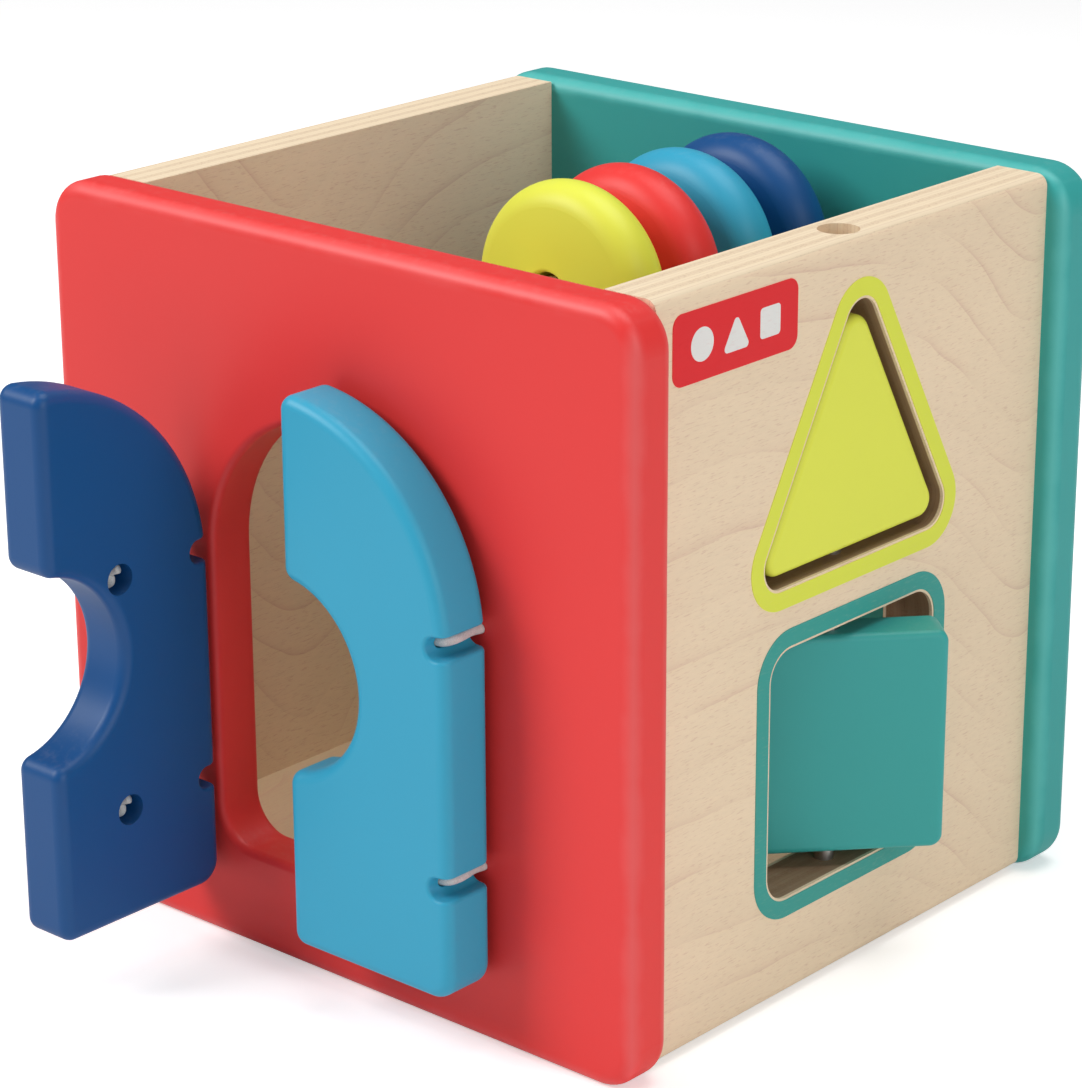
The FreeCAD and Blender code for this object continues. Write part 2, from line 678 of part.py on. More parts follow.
def spinner_axle():
    """A steel rod through both blocks, dropped in from the top edge of the wall."""
    height = "wall_top_z - access_depth - axle_end_height"
    rod = cylinder("spinner_axle", "axle_radius", height)
    return move(rod, "wall_middle_x", z="axle_end_height")


def axle_plug():
    plug = cylinder("axle_plug", "access_radius", "plug_length")
    return move(plug, "wall_middle_x", z="wall_top_z - access_depth")


# ---------------------------------------------------------------- printed rings and label
def rounded_plate(label, corners, radius, thickness):
    """A thin plate on the outer face of the right wall, with all its corners rounded."""
    body = new_body(label)
    sketch = new_sketch(body, "YZ_Plane")
    add_polygon(sketch, corners)
    plate = pad(body, sketch, thickness)
    fillet(body, plate, along(0), radius)
    place(body, "wall_outer_x")
    return body


def printed_ring(label, corners_at, round_name):
    """A flat ring printed round a hole, a little away from the hole's edge."""
    outer = rounded_plate(label + "_outer", corners_at("ring_rim + ring_width"),
                          "%s + ring_rim + ring_width" % round_name, "print_thickness")
    inner = rounded_plate(label + "_inner", corners_at("ring_rim"), "%s + ring_rim" % round_name,
                          "print_thickness")
    ring = doc.addObject("Part::Cut", label)
    ring.Label = label
    ring.Base = outer
    ring.Tool = inner
    return ring


def triangle_ring():
    return printed_ring("triangle_ring_print", lambda out: triangle_corners("0 - (%s)" % out),
                        "triangle_hole_round")


def square_ring():
    return printed_ring("square_ring_print",
                        lambda out: square_corners("square_hole_size + 2 * (%s)" % out),
                        "square_hole_round")


def wall_label():
    """A plain printed bar near the top front corner of the right wall."""
    low_y = "0 - panel_inner_y + label_front_gap"
    high_y = "%s + label_length" % low_y
    high_z = "wall_top_z - label_top_gap"
    low_z = "%s - label_height" % high_z
    corners = [(low_y, low_z), (high_y, low_z), (high_y, high_z), (low_y, high_z)]
    return rounded_plate("wall_label", corners, "label_round", "print_thickness")


# ---------------------------------------------------------------- discs and their rod
def disc(label, place_on_rod):
    """A thick rounded disc, turned about Y. The domed faces run smoothly into the round edge."""
    body = new_body(label)
    sketch = new_sketch(body, "XY_Plane")
    edge_x = "disc_radius - disc_edge_radius"
    dome = "((%s) ^ 2 + disc_half_thickness ^ 2 - disc_edge_radius ^ 2) / 2 " \
           "/ (disc_half_thickness - disc_edge_radius)" % edge_x
    sink = "%s - disc_half_thickness" % dome
    rim = value("%s - sqrt((%s) ^ 2 - disc_hole_radius ^ 2)" % (sink, dome))
    hole_low = FreeCAD.Vector(value("disc_hole_radius"), rim, 0)
    hole_high = FreeCAD.Vector(value("disc_hole_radius"), -rim, 0)
    lean = math.atan2(value(sink), value(edge_x))
    top_start = math.acos(value("disc_hole_radius") / value(dome))
    sketch.addGeometry(Part.LineSegment(hole_low, hole_high))
    top = add_arc(sketch, ("0", "0 - (%s)" % sink), dome, lean, top_start)
    edge = add_arc(sketch, (edge_x, "0"), "disc_edge_radius", -lean, lean)
    bottom = add_arc(sketch, ("0", sink), dome, -top_start, -lean)
    tie_radius(sketch, edge, "disc_edge_radius")
    join_ends(sketch, [((0, 2), (top, 2)), ((bottom, 1), (0, 1))])
    sketch.addConstraint(Sketcher.Constraint("Tangent", top, 1, edge, 2))
    sketch.addConstraint(Sketcher.Constraint("Tangent", edge, 1, bottom, 2))
    set_level(sketch, "DistanceX", 0, 1, "disc_hole_radius")
    set_level(sketch, "DistanceX", 0, 2, "disc_hole_radius")
    turned = body.newObject("PartDesign::Revolution", "turned")
    turned.Profile = sketch
    turned.ReferenceAxis = (sketch, ["V_Axis"])
    turned.Angle = 360
    doc.recompute()
    hole = value("disc_hole_radius")
    mouth = inside_box((-hole - NEAR, -FAR, -hole - NEAR), (hole + NEAR, FAR, hole + NEAR))
    fillet(body, turned, both(mouth, circles_of("disc_hole_radius")), "disc_hole_round")
    place(body, "disc_rod_offset", place_on_rod, "disc_rod_z")
    return body


def disc_rod():
    reach = "panel_inner_y + rod_socket_depth"
    rod = cylinder("disc_rod", "disc_rod_radius", "2 * (%s)" % reach, TO_PLUS_Y)
    return move(rod, "disc_rod_offset", "0 - (%s)" % reach, "disc_rod_z")


# ---------------------------------------------------------------- the whole cube
pieces = [front_panel(), back_panel(), side_wall("left"), right_wall(), floor_board()]
pieces += [wall_dowels("front_dowels", -1), wall_dowels("back_dowels", 1), floor_dowels()]
pieces += [spinner_axle(), axle_plug(), triangle_block(), square_block()]
pieces += [triangle_ring(), square_ring(), wall_label(), disc_rod()]
for side in SIDES:
    pieces.append(door(side))
    for level in CORD_HEIGHTS:
        pieces += [door_cord(side, level), panel_cord(side, level)]
for number, colour in enumerate(["lime", "red", "light_blue", "dark_blue"]):
    pieces.append(disc("%s_disc" % colour, "disc_group_middle + %s * disc_spacing" % (number - 1.5)))
doc.recompute()

for item in doc.Objects:
    if any(word in item.State for word in ("Invalid", "Error")):
        raise RuntimeError("%s did not build: %s" % (item.Label, item.State))
for piece in pieces:
    if piece.Shape.isNull() or not piece.Shape.isValid() or not piece.Shape.Solids:
        raise RuntimeError("%s has no valid solid" % piece.Label)

os.makedirs("parts", exist_ok=True)
for piece in pieces:
    piece.Shape.exportStep(os.path.join("parts", piece.Label + ".step"))
    print("%-30s %2d solid  %9.1f mm3" % (piece.Label, len(piece.Shape.Solids), piece.Shape.Volume))
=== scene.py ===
"""Finishes, hinge cords, label print and studio for the wooden activity cube.

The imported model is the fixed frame. Its wood, paint and print shapes stay as they are and get
their finishes here. The elastic hinge cords and their knots are built here, and stand for the
plain cord solids of the frame. Lengths are in metres unless a docstring says otherwise.
"""

import json
import logging
import math
from dataclasses import dataclass, field
from enum import Enum
from typing import Callable, Sequence

import bmesh
import bpy
from mathutils import Matrix, Vector


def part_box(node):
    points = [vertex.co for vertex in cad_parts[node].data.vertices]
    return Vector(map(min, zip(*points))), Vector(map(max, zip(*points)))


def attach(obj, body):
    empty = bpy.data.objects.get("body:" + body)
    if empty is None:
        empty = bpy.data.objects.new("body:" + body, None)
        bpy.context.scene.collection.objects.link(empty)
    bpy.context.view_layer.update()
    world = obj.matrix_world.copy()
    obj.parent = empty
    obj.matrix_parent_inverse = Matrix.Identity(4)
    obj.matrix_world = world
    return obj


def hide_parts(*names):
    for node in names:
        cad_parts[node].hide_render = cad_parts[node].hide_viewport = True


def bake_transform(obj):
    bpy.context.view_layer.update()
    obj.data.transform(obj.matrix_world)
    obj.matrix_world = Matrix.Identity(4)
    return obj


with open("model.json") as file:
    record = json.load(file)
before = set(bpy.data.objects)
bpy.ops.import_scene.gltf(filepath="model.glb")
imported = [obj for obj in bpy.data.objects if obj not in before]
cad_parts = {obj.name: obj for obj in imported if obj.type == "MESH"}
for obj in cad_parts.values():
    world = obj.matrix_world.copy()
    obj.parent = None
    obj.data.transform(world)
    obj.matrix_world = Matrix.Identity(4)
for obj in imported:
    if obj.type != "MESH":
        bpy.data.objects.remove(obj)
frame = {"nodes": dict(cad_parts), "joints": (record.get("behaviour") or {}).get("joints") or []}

LOG = logging.getLogger("activity_cube")
MM = 0.001
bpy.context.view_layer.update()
Socket = bpy.types.NodeSocket
Value = float | int | Sequence[float] | Socket


def linear(red: int, green: int, blue: int) -> tuple[float, float, float, float]:
    """Turns a colour written as screen values into a linear one.

    Args:
        red: Red, 0 to 255.
        green: Green, 0 to 255.
        blue: Blue, 0 to 255.

    Returns:
        Linear red, green and blue, and an alpha of one.
    """
    def channel(level: int) -> float:
        """One channel, by the usual screen curve."""
        share = level / 255
        return share / 12.92 if share <= 0.04045 else ((share + 0.055) / 1.055) ** 2.4
    return channel(red), channel(green), channel(blue), 1.0


# ------------------------------------------------------------------ shader graphs
class Graph:
    """A small wrapper that adds nodes to a shader tree and joins them."""

    def __init__(self, tree: bpy.types.NodeTree) -> None:
        """Wraps one tree.

        Args:
            tree: A material's or a group's node tree.
        """
        self.tree = tree

    def node(self, kind: str, **settings: object) -> bpy.types.Node:
        """Adds a node and sets its plain properties.

        Args:
            kind: The node's type name without its "ShaderNode" start.
            **settings: Properties of the node.

        Returns:
            The new node.
        """
        made = self.tree.nodes.new("ShaderNode" + kind)
        for name, setting in settings.items():
            setattr(made, name, setting)
        return made

    def feed(self, target: Socket, value: Value) -> None:
        """Sets a socket, or links it.

        Args:
            target: The input socket.
            value: A number, a colour, a vector or an output socket.
        """
        if isinstance(value, bpy.types.NodeSocket):
            self.tree.links.new(value, target)
        else:
            target.default_value = value

    def math(self, operation: str, first: Value, second: Value = 0.0, third: Value = 0.0) -> Socket:
        """Adds a Math node.

        Args:
            operation: Its operation, such as "ADD".
            first: First input.
            second: Second input.
            third: Third input, where the operation has one.

        Returns:
            Its output socket.
        """
        made = self.node("Math", operation=operation)
        for socket, value in zip(made.inputs, (first, second, third)):
            self.feed(socket, value)
        return made.outputs[0]

    def span(self, value: Value, low: Value, high: Value, low_out: Value = 0.0,
             high_out: Value = 1.0) -> Socket:
        """Maps a range smoothly onto another and clamps it.

        Args:
            value: What is mapped.
            low: Where the step starts.
            high: Where the step ends.
            low_out: The result at the start.
            high_out: The result at the end.

        Returns:
            The mapped socket.
        """
        made = self.node("MapRange", interpolation_type="SMOOTHSTEP")
        for socket, number in zip(made.inputs, (value, low, high, low_out, high_out)):
            self.feed(socket, number)
        return made.outputs[0]

    def mix(self, share: Value, first: Value, second: Value, blend: str = "MIX") -> Socket:
        """Mixes two colours.

        Args:
            share: How much of the second one shows.
            first: First colour.
            second: Second colour.
            blend: The blend mode.

        Returns:
            The mixed colour's socket.
        """
        made = self.node("Mix", data_type="RGBA", blend_type=blend)
        for socket, value in zip((made.inputs[0], made.inputs[6], made.inputs[7]),
                                 (share, first, second)):
            self.feed(socket, value)
        return made.outputs[2]

    def vector(self, x: Value, y: Value, z: Value) -> Socket:
        """Joins three values into a vector.

        Args:
            x: First value.
            y: Second value.
            z: Third value.

        Returns:
            The vector's socket.
        """
        made = self.node("CombineXYZ")
        for socket, value in zip(made.inputs, (x, y, z)):
            self.feed(socket, value)
        return made.outputs[0]

    def scaled(self, values: Sequence[Socket], factors: Sequence[float]) -> Socket:
        """A vector of values, each times its own factor."""
        return self.vector(*(self.math("MULTIPLY", value, factor)
                             for value, factor in zip(values, factors)))

    def vector_math(self, operation: str, first: Value, second: Value) -> Socket:
        """Adds a Vector Math node.

        Args:
            operation: Its operation, such as "SUBTRACT".
            first: First input.
            second: Second input.

        Returns:
            Its output socket.
        """
        made = self.node("VectorMath", operation=operation)
        self.feed(made.inputs[0], first)
        self.feed(made.inputs[1], second)
        return made.outputs[0]

    def split(self, vector: Socket) -> tuple[Socket, ...]:
        """Splits a vector.

        Args:
            vector: The vector's socket.

        Returns:
            Its x, y and z.
        """
        parts = self.node("SeparateXYZ")
        self.feed(parts.inputs[0], vector)
        return tuple(parts.outputs)

    def noise(self, place: Value, scale: Value, detail: float = 2.0, rough: float = 0.5) -> Socket:
        """A noise value from 0 to 1.

        Args:
            place: The position vector.
            scale: Noise scale.
            detail: Octaves.
            rough: Weight of the finer octaves.

        Returns:
            The noise value's socket.
        """
        made = self.node("TexNoise")
        self.feed(made.inputs["Vector"], place)
        self.feed(made.inputs["Scale"], scale)
        made.inputs["Detail"].default_value = detail
        made.inputs["Roughness"].default_value = rough
        return made.outputs[0]

    def sway(self, place: Value, scale: Value, detail: float = 2.0, rough: float = 0.5) -> Socket:
        """The same noise, from -0.5 to 0.5."""
        return self.math("SUBTRACT", self.noise(place, scale, detail, rough), 0.5)

    def place(self) -> tuple[Socket, ...]:
        """Reads the piece's own coordinates.

        Returns:
            The position vector, and its x, y and z.
        """
        vector = self.node("TexCoord").outputs["Object"]
        return (vector, *self.split(vector))

    def use(self, group: bpy.types.NodeTree, **inputs: Value) -> bpy.types.Node:
        """Places a shared group.

        Args:
            group: The group's tree.
            **inputs: Values for its inputs, named with _ for a space.

        Returns:
            The group node.
        """
        made = self.node("Group", node_tree=group)
        for name, value in inputs.items():
            self.feed(made.inputs[name.replace("_", " ")], value)
        return made


class SocketKind(Enum):
    """Kinds of socket that a shared group has."""

    NUMBER = "NodeSocketFloat"
    COLOUR = "NodeSocketColor"
    VECTOR = "NodeSocketVector"


NUMBER, COLOUR, VECTOR = SocketKind.NUMBER, SocketKind.COLOUR, SocketKind.VECTOR


def new_group(name: str, inputs: dict[str, SocketKind], outputs: dict[str, SocketKind],
              fill: Callable[[Graph, dict[str, Socket]], dict[str, Socket]]) -> bpy.types.NodeTree:
    """Makes a shader node group.

    Args:
        name: The group's name.
        inputs: Kinds of its inputs by name.
        outputs: Kinds of its outputs by name.
        fill: Builds the inside and returns the output sockets by name.

    Returns:
        The group's tree.
    """
    tree = bpy.data.node_groups.new(name, "ShaderNodeTree")
    for label, kind in inputs.items():
        tree.interface.new_socket(label, in_out="INPUT", socket_type=kind.value)
    for label, kind in outputs.items():
        tree.interface.new_socket(label, in_out="OUTPUT", socket_type=kind.value)
    graph = Graph(tree)
    entry = tree.nodes.new("NodeGroupInput")
    leave = tree.nodes.new("NodeGroupOutput")
    results = fill(graph, {label: entry.outputs[label] for label in inputs})
    for label, socket in results.items():
        graph.feed(leave.inputs[label], socket)
    return tree


def paint_film(g: Graph, given: dict[str, Socket]) -> dict[str, Socket]:
    """Sprayed paint on sanded wood: soft cloudiness, a fine peel and faint wood pores under it.

    Args:
        g: The group's graph.
        given: The group's inputs by name.

    Returns:
        The group's outputs by name.
    """
    place = g.place()[0]
    cloud = g.sway(place, 24.0, 3.0)
    peel = g.noise(place, 900.0, 2.0)
    speck = g.noise(place, 2600.0, 1.0)
    shade = g.math("MULTIPLY_ADD", cloud, given["Tone"], 1.0)
    tinted = g.mix(1.0, given["Colour"], g.vector(shade, shade, shade), "MULTIPLY")
    rough = g.math("MULTIPLY_ADD", cloud, 0.10, given["Roughness"])
    height = g.math("ADD", g.math("MULTIPLY", peel, 0.7), g.math("MULTIPLY", speck, 0.3))
    return {"Colour": tinted, "Roughness": rough, "Height": height}


def paint_edge_highlight(g: Graph, given: dict[str, Socket]) -> dict[str, Socket]:
    """Painted highlight on the edges of a boxy piece, found from its corners: the paint is lighter
    there.

    Args:
        g: The group's graph.
        given: The group's inputs by name.

    Returns:
        The group's outputs by name.
    """
    place = g.place()[0]
    x, y, z = g.split(g.vector_math(
        "MINIMUM", g.vector_math("SUBTRACT", place, given["Low"]),
        g.vector_math("SUBTRACT", given["High"], place)))
    small, large = g.math("MINIMUM", x, y), g.math("MAXIMUM", x, y)
    middle = g.math("MAXIMUM", small, g.math("MINIMUM", large, z))
    patch = g.noise(place, 120.0, 3.0)
    reach = g.math("MULTIPLY", given["Reach"], g.math("ADD", patch, 0.5))
    # Painted highlight: the paint is lighter near the edges, over a reach that varies in random
    # patches.
    mask = g.span(middle, 0.0, reach, 1.0, 0.0)
    share = g.math("MULTIPLY", mask, given["Amount"])
    return {"Colour": g.mix(share, given["Colour"], given["Bare"])}


def dust_film(g: Graph, given: dict[str, Socket]) -> dict[str, Socket]:
    """A breath of dust on what faces up: a little paler and duller.

    Args:
        g: The group's graph.
        given: The group's inputs by name.

    Returns:
        The group's outputs by name.
    """
    up = g.span(g.split(g.node("NewGeometry").outputs["Normal"])[2], 0.6, 1.0)
    specks = g.span(g.noise(g.place()[0], 520.0, 3.0, 0.7), 0.45, 0.75)
    share = g.math("MULTIPLY", g.math("MULTIPLY", up, specks), given["Amount"])
    return {"Colour": g.mix(share, given["Colour"], linear(214, 210, 202)),
            "Roughness": g.math("ADD", given["Roughness"], g.math("MULTIPLY", share, 0.3))}


# Plywood, in millimetres: growth lines and their arch, one layer, and two bands over which the
# face gives way to the core and a cut wall inside the board's outline gets painted shade, darker
# and browner.
RING_SPACING = 11.5
ARCH_DEPTH = 40.0
ARCH_SPREAD = 700.0
PLY = 1.72
FACE_BAND = (0.55, 0.85)
RIM_BAND = (2.0, 3.0)


def veneer_grain(g: Graph, given: dict[str, Socket]) -> dict[str, Socket]:
    """Plywood: a maple face with arched growth lines and short flecks, and layered edges.

    Along runs with the face grain, Up across it, and Deep through the board, all in millimetres.
    The cut-wall input is one on the walls of holes cut through the board, which get painted shade:
    darker and browner.

    Args:
        g: The group's graph.
        given: The group's inputs by name.

    Returns:
        The group's outputs by name.
    """
    along, up, deep = given["Along"], given["Up"], given["Deep"]

    def sheet(along_scale: float, up_scale: float) -> Socket:
        """A place on the face, with its own scale along and across the grain."""
        return g.vector(g.math("MULTIPLY", along, along_scale),
                        g.math("MULTIPLY", up, up_scale), given["Seed"])

    slow, ripple = sheet(0.011, 0.024), sheet(0.05, 0.09)
    warp = g.sway(slow, 1.0, 2.0, 0.45)
    ripples = g.sway(ripple, 1.0, 2.0)
    side = g.math("SUBTRACT", along, given["Arch Along"])
    square = g.math("MULTIPLY", side, side)
    bowl = g.math("DIVIDE", square, g.math("ADD", square, ARCH_SPREAD))
    bowl = g.math("MULTIPLY", bowl, ARCH_DEPTH)
    fall = g.math("ADD", g.math("SUBTRACT", given["Arch Up"], up), bowl)
    rings = g.math("ADD", g.math("DIVIDE", fall, RING_SPACING), g.math("MULTIPLY", warp, 1.6))
    rings = g.math("ADD", rings, g.math("MULTIPLY", ripples, 0.22))
    phase = g.math("FRACT", rings)
    rise = g.math("POWER", phase, 13.0)
    sharp = g.math("MULTIPLY", rise, g.span(phase, 0.985, 1.0, 1.0, 0.0))
    fade = g.span(g.noise(ripple, 0.55, 1.0), 0.34, 0.66)
    lines = g.math("MULTIPLY", sharp, fade)
    soft = g.math("MULTIPLY", g.math("POWER", phase, 2.0), 0.18)

    flecks = g.span(g.noise(sheet(0.42, 3.2), 1.0, 2.0, 0.6), 0.54, 0.72)
    streaks = g.sway(sheet(0.22, 1.3), 1.0, 3.0, 0.6)
    cloud = g.sway(slow, 2.2, 2.0)

    face = g.mix(g.math("MULTIPLY", lines, 0.50), given["Colour"], linear(214, 166, 146))
    face = g.mix(g.math("MULTIPLY", soft, 0.5), face, linear(224, 196, 166))
    face = g.mix(g.math("MULTIPLY", flecks, 0.38), face, linear(212, 166, 142))
    tone = g.math("MULTIPLY_ADD", streaks, 0.10, 1.0)
    tone = g.math("ADD", tone, g.math("MULTIPLY", cloud, 0.10))
    face = g.mix(1.0, face, g.vector(tone, tone, tone), "MULTIPLY")

    wander = g.math("MULTIPLY", g.sway(sheet(0.03, 0.03), 1.0, 1.0), 0.7)
    layer = g.math("DIVIDE", g.math("ADD", deep, wander), PLY)
    odd = g.span(g.math("PINGPONG", layer, 1.0), 0.42, 0.58)
    joint = g.math("SUBTRACT", g.math("FRACT", g.math("ADD", layer, 0.5)), 0.5)
    glue = g.span(g.math("ABSOLUTE", joint), 0.0, 0.07, 1.0, 0.0)
    threads = g.sway(g.scaled((along, up, deep), (0.10, 0.10, 3.4)), 1.0, 3.0, 0.6)
    dots = g.span(g.noise(g.scaled((along, up, deep), (2.2, 2.2, 2.2)), 1.0, 2.0), 0.5, 0.7)
    dark = g.math("MULTIPLY", g.math("MULTIPLY", odd, dots), 0.25)
    edge = g.mix(g.math("MULTIPLY", odd, 0.30), given["Edge Colour"], linear(214, 184, 150))
    edge = g.mix(dark, edge, linear(176, 138, 108))
    edge = g.mix(g.math("MULTIPLY", glue, 0.30), edge, linear(190, 146, 122))
    lit = g.math("MULTIPLY_ADD", threads, 0.16, 1.0)
    edge = g.mix(1.0, edge, g.vector(lit, lit, lit), "MULTIPLY")
    # Painted shade: the walls inside cut holes are darkened towards brown.
    edge = g.mix(given["Cut"], edge, g.mix(0.85, edge, linear(128, 98, 70), "MULTIPLY"))

    colour = g.mix(given["Face"], edge, face)
    rough = g.math("MULTIPLY_ADD", given["Face"], -0.12, 0.66)
    rough = g.math("ADD", rough, g.math("MULTIPLY", flecks, 0.06))
    relief = g.math("ADD", g.math("MULTIPLY", streaks, 0.6), g.math("MULTIPLY", flecks, -0.5))
    plies = g.math("ADD", g.math("MULTIPLY", threads, 0.8), g.math("MULTIPLY", glue, -0.6))
    height = g.node("Mix", data_type="FLOAT")
    sockets = height.inputs[:1] + height.inputs[2:4]
    for socket, value in zip(sockets, (given["Face"], plies, relief)):
        g.feed(socket, value)
    return {"Colour": colour, "Roughness": rough, "Height": height.outputs[0]}


def turned_grain(g: Graph, given: dict[str, Socket]) -> dict[str, Socket]:
    """Plain beech: streaks along the piece and small darker rays.

    Stretch is the pattern's scale on each axis, and is smallest along the piece.

    Args:
        g: The group's graph.
        given: The group's inputs by name.

    Returns:
        The group's outputs by name.
    """
    place = g.vector_math("MULTIPLY", g.place()[0], given["Stretch"])
    streak = g.noise(place, 1.0, 3.0, 0.6)
    ray = g.span(g.noise(place, 2.4, 2.0), 0.60, 0.76)
    colour = g.mix(g.span(streak, 0.3, 0.7), given["Colour"], linear(206, 174, 136))
    colour = g.mix(g.math("MULTIPLY", ray, 0.5), colour, linear(158, 116, 82))
    return {"Colour": colour, "Height": streak}


class Groups:
    """The shared node groups, each built once."""

    def __init__(self) -> None:
        """Builds all of them."""
        self.paint = new_group(
            "Paint Film", {"Colour": COLOUR, "Tone": NUMBER, "Roughness": NUMBER},
            {"Colour": COLOUR, "Roughness": NUMBER, "Height": NUMBER}, paint_film)
        self.edge_highlight = new_group(
            "Edge Wear", {"Colour": COLOUR, "Bare": COLOUR, "Low": VECTOR, "High": VECTOR,
                          "Reach": NUMBER, "Amount": NUMBER},
            {"Colour": COLOUR}, paint_edge_highlight)
        self.dust = new_group(
            "Dust", {"Colour": COLOUR, "Roughness": NUMBER, "Amount": NUMBER},
            {"Colour": COLOUR, "Roughness": NUMBER}, dust_film)
        self.veneer = new_group(
            "Veneer Grain", {"Colour": COLOUR, "Edge Colour": COLOUR, "Along": NUMBER,
                             "Up": NUMBER, "Deep": NUMBER, "Face": NUMBER, "Cut": NUMBER,
                             "Seed": NUMBER, "Arch Along": NUMBER, "Arch Up": NUMBER},
            {"Colour": COLOUR, "Roughness": NUMBER, "Height": NUMBER}, veneer_grain)
        self.beech = new_group(
            "Turned Grain", {"Colour": COLOUR, "Stretch": VECTOR},
            {"Colour": COLOUR, "Height": NUMBER}, turned_grain)


GROUPS = Groups()


def new_material(name: str) -> tuple[bpy.types.Material, Graph, bpy.types.Node]:
    """Starts a material.

    Args:
        name: Its name.

    Returns:
        The material, its graph, and its Principled BSDF.
    """
    material = bpy.data.materials.new(name)
    material.use_nodes = True
    graph = Graph(material.node_tree)
    shader = material.node_tree.nodes["Principled BSDF"]
    return material, graph, shader


def add_bump(graph: Graph, shader: bpy.types.Node, height: Socket, strength: float,
             distance: float) -> None:
    """Feeds a height to the shader's normal.

    Args:
        graph: The material's graph.
        shader: Its Principled BSDF.
        height: The height's socket.
        strength: Bump strength.
        distance: Relief at full height, in metres.
    """
    bump = graph.node("Bump")
    bump.inputs["Strength"].default_value = strength
    bump.inputs["Distance"].default_value = distance
    graph.feed(bump.inputs["Height"], height)
    graph.feed(shader.inputs["Normal"], bump.outputs[0])


# ------------------------------------------------------------------ finishes
Colour = tuple[float, float, float, float]


@dataclass(frozen=True)
class Paint:
    """Satin paint on sanded wood."""

    name: str
    colour: Colour
    # The lighter tint of the painted edge highlight.
    edge_colour: Colour
    roughness: float = 0.44
    tone: float = 0.05
    dust: float = 0.05
    peel: float = 0.05 * MM
    coat: float = 0.05
    # Amount and reach of the painted edge highlight.
    edge_highlight: float = 0.45
    highlight_reach: float = 3.5 * MM

    def material(self, node: str, boxy: bool) -> bpy.types.Material:
        """Makes the material for one node.

        Args:
            node: The node that it is for.
            boxy: True if the node is a board whose edges follow its box.

        Returns:
            The material.
        """
        material, graph, shader = new_material(self.name + "_" + node)
        film = graph.use(GROUPS.paint, Colour=self.colour, Tone=self.tone, Roughness=self.roughness)
        colour = film.outputs["Colour"]
        # Boxy pieces get a painted highlight: lighter paint along their edges.
        if boxy:
            low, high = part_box(node)
            highlighted = graph.use(GROUPS.edge_highlight, Colour=colour, Bare=self.edge_colour, Low=tuple(low),
                             High=tuple(high), Reach=self.highlight_reach, Amount=self.edge_highlight)
            colour = highlighted.outputs["Colour"]
        dusty = graph.use(GROUPS.dust, Colour=colour, Roughness=film.outputs["Roughness"],
                          Amount=self.dust)
        graph.feed(shader.inputs["Base Color"], dusty.outputs["Colour"])
        graph.feed(shader.inputs["Roughness"], dusty.outputs["Roughness"])
        shader.inputs["Specular IOR Level"].default_value = 0.35
        shader.inputs["Coat Weight"].default_value = self.coat
        shader.inputs["Coat Roughness"].default_value = 0.35
        add_bump(graph, shader, film.outputs["Height"], 0.25, self.peel)
        return material


class Board(Enum):
    """Which way a plywood board lies: the axes through it, along its grain and across it."""

    UPRIGHT = (0, 1, 2)
    FLAT = (2, 1, 0)


@dataclass(frozen=True)
class Plywood:
    """Clear-sealed maple-faced plywood with visible layers at its edges."""

    name: str
    lie: Board
    seed: float
    arch_along: float
    arch_up: float
    colour: Colour = linear(247, 223, 191)
    edge_colour: Colour = linear(244, 224, 193)

    def material(self, node: str) -> bpy.types.Material:
        """Makes the material for one board.

        Args:
            node: The board's node.

        Returns:
            The material.
        """
        material, graph, shader = new_material(self.name)
        low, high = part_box(node)
        deep_axis, along_axis, up_axis = self.lie.value
        lengths = [graph.math("MULTIPLY", part, 1 / MM) for part in graph.place()[1:]]
        deep = graph.math("SUBTRACT", lengths[deep_axis], low[deep_axis] / MM)
        normal = graph.split(graph.node("TexCoord").outputs["Normal"])
        flat = graph.math("ABSOLUTE", normal[deep_axis])
        thick = (high[deep_axis] - low[deep_axis]) / MM
        near, far = FACE_BAND
        core = graph.math("MULTIPLY", graph.span(deep, near, far),
                          graph.span(deep, thick - far, thick - near, 1.0, 0.0))
        shown = graph.math("SUBTRACT", flat, graph.math("MULTIPLY", core, 0.6))
        face = graph.span(shown, 0.25, 0.45)
        inward = [graph.math("MINIMUM", graph.math("SUBTRACT", lengths[axis], low[axis] / MM),
                             graph.math("SUBTRACT", high[axis] / MM, lengths[axis]))
                  for axis in (along_axis, up_axis)]
        # The walls of holes, away from the board's outer edges, where the painted shade goes.
        cut = graph.math("MULTIPLY", core, graph.span(graph.math("MINIMUM", *inward), *RIM_BAND))
        grain = graph.use(GROUPS.veneer, Colour=self.colour, Edge_Colour=self.edge_colour,
                          Along=lengths[along_axis], Up=lengths[up_axis], Deep=deep, Face=face,
                          Cut=cut, Seed=self.seed, Arch_Along=self.arch_along, Arch_Up=self.arch_up)
        dusty = graph.use(GROUPS.dust, Colour=grain.outputs["Colour"],
                          Roughness=grain.outputs["Roughness"], Amount=0.04)
        graph.feed(shader.inputs["Base Color"], dusty.outputs["Colour"])
        graph.feed(shader.inputs["Roughness"], dusty.outputs["Roughness"])
        shader.inputs["Specular IOR Level"].default_value = 0.4
        add_bump(graph, shader, grain.outputs["Height"], 0.30, 0.08 * MM)
        return material


@dataclass(frozen=True)
class Beech:
    """Plain sanded beech of rods, plugs and dowels."""

    name: str
    stretch: tuple[float, float, float]
    colour: Colour = linear(231, 206, 170)

    def material(self) -> bpy.types.Material:
        """Makes the material.

        Returns:
            The material.
        """
        material, graph, shader = new_material(self.name)
        grain = graph.use(GROUPS.beech, Colour=self.colour, Stretch=self.stretch)
        graph.feed(shader.inputs["Base Color"], grain.outputs["Colour"])
        shader.inputs["Roughness"].default_value = 0.58
        add_bump(graph, shader, grain.outputs["Height"], 0.3, 0.06 * MM)
        return material


